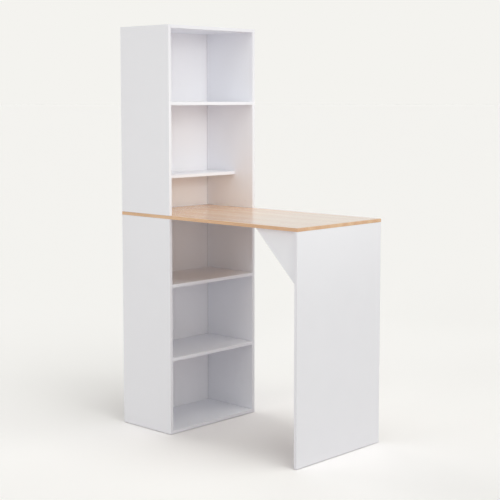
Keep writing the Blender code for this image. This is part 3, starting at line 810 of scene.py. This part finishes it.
def disc_shape(tree, inputs):
    """A disc about Z whose slot for the bolt's head looks along -X."""
    radius, top, bottom = inputs["Disc radius"], inputs["Disc top"], inputs["Disc bottom"]
    rim = math_node(tree, "SUBTRACT", radius, inputs["Rim width"])
    foot = math_node(tree, "SUBTRACT", rim, EDGE_BREAK)
    field = math_node(tree, "SUBTRACT", top, inputs["Field depth"])
    broken = math_node(tree, "SUBTRACT", radius, EDGE_BREAK)
    upper = math_node(tree, "SUBTRACT", top, EDGE_BREAK)
    lower = math_node(tree, "ADD", bottom, EDGE_BREAK)
    profile = [(0.0, field), (foot, field), (rim, top), (broken, top), (radius, upper)]
    profile += [(radius, lower), (broken, bottom), (0.0, bottom)]
    body = turned(tree, profile, inputs["Sides"])
    length, width = inputs["Cross length"], inputs["Cross width"]
    depth = math_node(tree, "MULTIPLY", inputs["Cross depth"], 2.0)
    deeper = math_node(tree, "ADD", depth, EDGE_BREAK)
    back = math_node(tree, "MULTIPLY", radius, -1.0)
    centre = add(tree, "ShaderNodeCombineXYZ", {2: top}).outputs[0]
    notch_place = add(tree, "ShaderNodeCombineXYZ", {0: back, 2: top}).outputs[0]
    one_way = add(tree, "ShaderNodeCombineXYZ", {0: length, 1: width, 2: depth}).outputs[0]
    other_way = add(tree, "ShaderNodeCombineXYZ", {0: width, 1: length, 2: deeper}).outputs[0]
    cutters = [
        block(tree, one_way, centre),
        block(tree, other_way, centre),
        block(tree, NOTCH_SIZE, notch_place),
        block(tree, SLOT_SIZE, SLOT_PLACE),
    ]
    for cutter in cutters:
        cut = add(tree, "GeometryNodeMeshBoolean", operation="DIFFERENCE", solver="MANIFOLD")
        tree.links.new(body, cut.inputs["Mesh 1"])
        tree.links.new(cutter, cut.inputs["Mesh 2"])
        body = cut.outputs["Mesh"]
    return body


print("disc: a lathe shape with four cuts")

# %% [markdown]
# The bolt is plated steel. Its thick head sits on a thin neck, a collar stops it at the board's
# face, and a coarse thread bites into the chipboard. The thread is a spiral curve with a
# three-sided profile, laid round a slimmer core.

# %% The bolt
BOLT_SIZES = {
    "Head radius": 0.0030,
    "Neck radius": 0.0018,
    "Shank radius": 0.0026,
    "Collar radius": 0.0036,
    "Core radius": 0.0019,
    "Thread length": 0.0105,
    "Thread turns": 5.0,
}
HEAD_TIP, HEAD_START, NECK_START = 0.0370, 0.0340, 0.0290
HEAD_ROUND, HEAD_CONE, SHANK_CONE = 0.0009, 0.0006, 0.0008
COLLAR_LENGTH, COLLAR_CONE, COLLAR_FOOT = 0.0020, 0.0008, 0.0003
CORE_START, POINT_LENGTH, POINT_RADIUS = -0.0002, 0.0012, 0.0006
THREAD_RIDGE, THREAD_START, THREAD_SHORTER = 0.00045, 0.0014, 0.0022
BOLT_SIDES, THREAD_SIDES = 16, 3
Z_TO_X = (0.0, math.pi / 2, 0.0)


def head_profile(inputs):
    """The head, neck and start of the shank, from the tip back."""
    head, neck, shank = inputs["Head radius"], inputs["Neck radius"], inputs["Shank radius"]
    return [
        (0.0, HEAD_TIP),
        (neck, HEAD_TIP),
        (head, HEAD_TIP - HEAD_ROUND),
        (head, HEAD_START + HEAD_CONE),
        (neck, HEAD_START - HEAD_CONE),
        (neck, NECK_START),
        (shank, NECK_START - SHANK_CONE),
    ]


def bolt_shape(tree, inputs):
    """A bolt along X, with its thread on the -X side."""
    shank, collar, core = inputs["Shank radius"], inputs["Collar radius"], inputs["Core radius"]
    end = math_node(tree, "MULTIPLY", inputs["Thread length"], -1.0)
    near_end = math_node(tree, "ADD", end, POINT_LENGTH)
    profile = head_profile(inputs) + [
        (shank, COLLAR_LENGTH),
        (collar, COLLAR_LENGTH - COLLAR_CONE),
        (collar, COLLAR_FOOT),
        (core, CORE_START),
        (core, near_end),
        (POINT_RADIUS, end),
        (0.0, end),
    ]
    rod = turned(tree, profile, BOLT_SIDES)
    ridge_radius = math_node(tree, "SUBTRACT", shank, THREAD_RIDGE)
    rise = math_node(tree, "SUBTRACT", inputs["Thread length"], THREAD_SHORTER)
    spiral = add(tree, "GeometryNodeCurveSpiral", {
        "Resolution": BOLT_SIDES, "Rotations": inputs["Thread turns"],
        "Start Radius": ridge_radius, "End Radius": ridge_radius, "Height": rise,
    })
    ridge = {"Resolution": THREAD_SIDES, "Radius": THREAD_RIDGE}
    triangle = add(tree, "GeometryNodeCurvePrimitiveCircle", ridge)
    thread = add(tree, "GeometryNodeCurveToMesh", {
        "Curve": spiral.outputs[0], "Profile Curve": triangle.outputs[0], "Fill Caps": True,
    })
    start = math_node(tree, "ADD", end, THREAD_START)
    low = add(tree, "ShaderNodeCombineXYZ", {2: start}).outputs[0]
    thread = moved(tree, thread.outputs[0], low)
    return moved(tree, joined(tree, rod, thread), turn=Z_TO_X)


print("bolt: a lathe shape and a spiral")

# %% [markdown]
# A fitting is a disc on the head of its bolt. The sides of the tower are parted by the tabletop,
# so there the bolt has a head at both ends and a disc on each. The sizes are named inputs of the
# trees, and `second_finish` marks the faces that are steel.

# %% The disc fittings
FITTING_SIZES = {**DISC_SIZES, **BOLT_SIZES, "Cast finish": zinc, "Plated finish": steel}
BOARD = 2 * HALF_BOARD


def fitting_tree(name, double):
    """The tree of one kind of fitting: a disc and a bolt, or two discs on a long bolt."""
    tree, inputs = new_tree(name, FITTING_SIZES)
    disc = moved(tree, disc_shape(tree, inputs), (DISC_SETBACK, 0, 0))
    if double:
        other = moved(tree, disc, (-BOARD, 0, 0), (0, 0, math.pi))
        head = head_profile(inputs)
        other_head = [(radius, -BOARD - height) for radius, height in reversed(head)]
        rod = moved(tree, turned(tree, head + other_head, BOLT_SIDES), turn=Z_TO_X)
        cast = joined(tree, disc, other)
    else:
        rod, cast = bolt_shape(tree, inputs), disc
    rod = marked(tree, rod, "second_finish", True, "BOOLEAN", "FACE")
    both = joined(tree, cast, rod)
    set_on_seats(tree, inputs, both, inputs["Cast finish"], inputs["Plated finish"])
    return tree


disc_fittings = make_fittings(
    "disc_fittings", fitting_tree("disc_fitting", False), FITTING_SIZES,
    disc_seats.values(),
)
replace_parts(disc_fittings, *disc_seats)
double_fittings = make_fittings(
    "double_disc_fittings", fitting_tree("double_disc_fitting", True), FITTING_SIZES,
    double_seats.values(),
)
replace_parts(double_fittings, *double_seats)

# %% [markdown]
# Dowels are turned from beech and pressed with flutes, which let the glue spread and the air out.
# The flutes are a wave on the radius. One tree makes both lengths: only the named input differs.

# %% The dowels
DOWEL_RADIUS, DOWEL_CHAMFER, DOWEL_SIDES = 0.0040, 0.0010, 64
DOWEL_FLUTES, FLUTE_DEPTH = 16, 0.08
SHORT_DOWEL, LONG_DOWEL = 0.030, 0.050
DOWEL_SIZES = {"Dowel length": SHORT_DOWEL, "Wood finish": beech}

dowel_tree, inputs = new_tree("fluted_dowel", DOWEL_SIZES)
half = math_node(dowel_tree, "MULTIPLY", inputs["Dowel length"], 0.5)
minus_half = math_node(dowel_tree, "MULTIPLY", half, -1.0)
inner = DOWEL_RADIUS - DOWEL_CHAMFER
dowel_profile = [(0.0, half), (inner, half)]
dowel_profile.append((DOWEL_RADIUS, math_node(dowel_tree, "SUBTRACT", half, DOWEL_CHAMFER)))
dowel_profile.append((DOWEL_RADIUS, math_node(dowel_tree, "ADD", minus_half, DOWEL_CHAMFER)))
dowel_profile += [(inner, minus_half), (0.0, minus_half)]
rod = turned(dowel_tree, dowel_profile, DOWEL_SIDES, DOWEL_FLUTES, FLUTE_DEPTH)
set_on_seats(dowel_tree, inputs, moved(dowel_tree, rod, turn=Z_TO_X), inputs["Wood finish"])
for name, length, seats in (
    ("dowels", SHORT_DOWEL, short_dowel_seats),
    ("long_dowels", LONG_DOWEL, long_dowel_seats),
):
    sizes = {**DOWEL_SIZES, "Dowel length": length}
    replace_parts(make_fittings(name, dowel_tree, sizes, seats.values()), *seats)

# %% [markdown]
# White caps hide the discs that open towards the room: on the tower's sides above and below the
# tabletop, on the leg panel and on the braces. The picture shows no metal there, and such caps
# are the usual reason. A cap is a shallow moulded dish with a soft rim, less than a millimetre
# high.

# %% The cover caps
CAP_SIZES = {"Cap radius": 0.0085, "Cap height": 0.0009, "Sides": 40, "Moulded finish": plastic}
CAP_EDGE, CAP_CREST, CAP_WALL, CAP_DISH = 0.0004, 0.0009, 0.0014, 0.00025

cap_tree, inputs = new_tree("cover_cap", CAP_SIZES)
radius, height = inputs["Cap radius"], inputs["Cap height"]
rim = math_node(cap_tree, "SUBTRACT", radius, CAP_EDGE)
crest = math_node(cap_tree, "SUBTRACT", radius, CAP_CREST)
inner_rim = math_node(cap_tree, "SUBTRACT", radius, CAP_WALL)
dish = math_node(cap_tree, "SUBTRACT", height, CAP_DISH)
shoulder = math_node(cap_tree, "SUBTRACT", height, CAP_EDGE)
cap_profile = [(0.0, dish), (inner_rim, dish), (crest, height), (rim, height)]
cap_profile += [(radius, shoulder), (radius, 0.0), (0.0, 0.0)]
cap = turned(cap_tree, cap_profile, inputs["Sides"])
set_on_seats(cap_tree, inputs, cap, inputs["Moulded finish"])

ON_FACE = Matrix.Translation((DISC_SETBACK, 0, HALF_BOARD))
OTHER_END = Matrix.Translation((-BOARD, 0, 0)) @ Matrix.Rotation(math.pi, 4, "Z")
cap_seats = []
for name, place in disc_seats.items():
    if name.startswith(("leg_panel", "near_brace", "far_brace")):
        cap_seats.append(place @ ON_FACE)
for place in double_seats.values():
    cap_seats += [place @ ON_FACE, place @ OTHER_END @ ON_FACE]
make_fittings("cover_caps", cap_tree, CAP_SIZES, cap_seats)

# %% [markdown]
# The sides and the leg panel don't stand on their raw edges but on nailed glides, low plastic
# discs that leave a thin dark line along the floor.

# %% The glides
GLIDE_SIZES = {"Glide radius": 0.007, "Pin radius": 0.0012, "Sides": 32, "Moulded finish": plastic}
PIN_TIP, PIN_POINT, PIN_SHOULDER = 0.0150, (0.0003, 0.0148), 0.0130
GLIDE_TOP, GLIDE_EDGE_TOP, GLIDE_EDGE_FOOT, GLIDE_BULGE_TOP = 0.0027, 0.0023, 0.0011, 0.0004
GLIDE_SHOULDER, GLIDE_BULGE, GLIDE_FOOT = 0.0004, 0.0003, 0.0010

glide_tree, inputs = new_tree("nailed_glide", GLIDE_SIZES)
radius, pin = inputs["Glide radius"], inputs["Pin radius"]
shoulder = math_node(glide_tree, "SUBTRACT", radius, GLIDE_SHOULDER)
bulge = math_node(glide_tree, "SUBTRACT", radius, GLIDE_BULGE)
foot = math_node(glide_tree, "SUBTRACT", radius, GLIDE_FOOT)
glide_profile = [(0.0, PIN_TIP), PIN_POINT, (pin, PIN_SHOULDER), (pin, GLIDE_TOP)]
glide_profile += [(shoulder, GLIDE_TOP), (radius, GLIDE_EDGE_TOP), (radius, GLIDE_EDGE_FOOT)]
glide_profile += [(bulge, GLIDE_BULGE_TOP), (foot, 0.0), (0.0, 0.0)]
glide = turned(glide_tree, glide_profile, inputs["Sides"])
set_on_seats(glide_tree, inputs, glide, inputs["Moulded finish"])

glide_names = [name for name in nodes if name.startswith("glide_")]
glide_seats = []
for name in glide_names:
    low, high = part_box(name)
    foot_middle = Vector(((low.x + high.x) / 2, (low.y + high.y) / 2, low.z))
    glide_seats.append(Matrix.Translation(foot_middle))
glides = make_fittings("glides", glide_tree, GLIDE_SIZES, glide_seats)
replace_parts(glides, *glide_names)

# %% [markdown]
# From behind, rows of small nails show where the back boards are pinned to the shelves. They keep
# the thin boards flat. Their heads are low domes, in a row on the middle of each shelf.

# %% The nails in the back
NAIL_SIZES = {"Head radius": 0.0022, "Head height": 0.0007, "Sides": 16, "Plated finish": steel}
CROWN_WIDTH, CROWN_HEIGHT, RIM_HEIGHT = 0.62, 0.78, 0.2
NAILS_IN_ROW = 5
NAILED_SHELVES = ("low_shelf", "middle_shelf", "shallow_shelf", "upper_shelf")

nail_tree, inputs = new_tree("back_nail", NAIL_SIZES)
radius, height = inputs["Head radius"], inputs["Head height"]
inner = math_node(nail_tree, "MULTIPLY", radius, CROWN_WIDTH)
shoulder = math_node(nail_tree, "MULTIPLY", height, CROWN_HEIGHT)
rim = math_node(nail_tree, "MULTIPLY", height, RIM_HEIGHT)
nail_profile = [(0.0, height), (inner, shoulder), (radius, rim), (radius, 0.0), (0.0, 0.0)]
nail = turned(nail_tree, nail_profile, inputs["Sides"])
set_on_seats(nail_tree, inputs, nail, inputs["Plated finish"])

nail_seats = []
rear_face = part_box("lower_back")[0].x
for shelf in NAILED_SHELVES:
    low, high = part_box(shelf)
    for number in range(NAILS_IN_ROW):
        share = (number + 0.5) / NAILS_IN_ROW
        place = Vector((rear_face, low.y + share * (high.y - low.y), (low.z + high.z) / 2))
        nail_seats.append(seat(place, UP, -ALONG))
make_fittings("back_nails", nail_tree, NAIL_SIZES, nail_seats)
